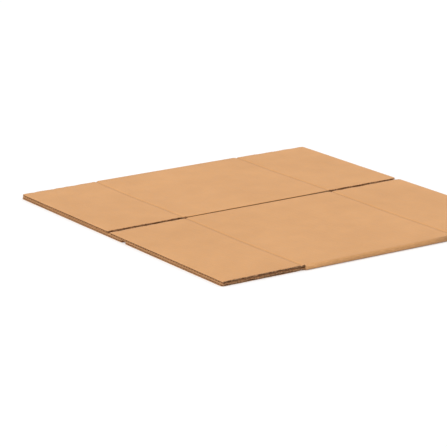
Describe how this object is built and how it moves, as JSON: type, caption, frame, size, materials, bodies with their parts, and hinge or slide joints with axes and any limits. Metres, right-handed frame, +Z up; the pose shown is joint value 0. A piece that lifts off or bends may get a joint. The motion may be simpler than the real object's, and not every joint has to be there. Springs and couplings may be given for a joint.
{
  "type": "flattened cardboard box",
  "caption": "Corrugated kraft shipping box folded flat: a slotted, scored and glued blank with rounded side folds and open flutes along its flap edges.",
  "frame": {"origin": "middle of the underside, on the surface that the flat box lies on", "axes": "+Z up through both layers, +X across the flutes from fold to fold, +Y along the flutes from flap edge to flap edge"},
  "size_m": [0.6684, 0.6216, 0.0092],
  "materials": {
    "kraft_board": "matte"
  },
  "bodies": {
    "root": {"flattened_box": "kraft_board"}
  },
  "joints": []
}
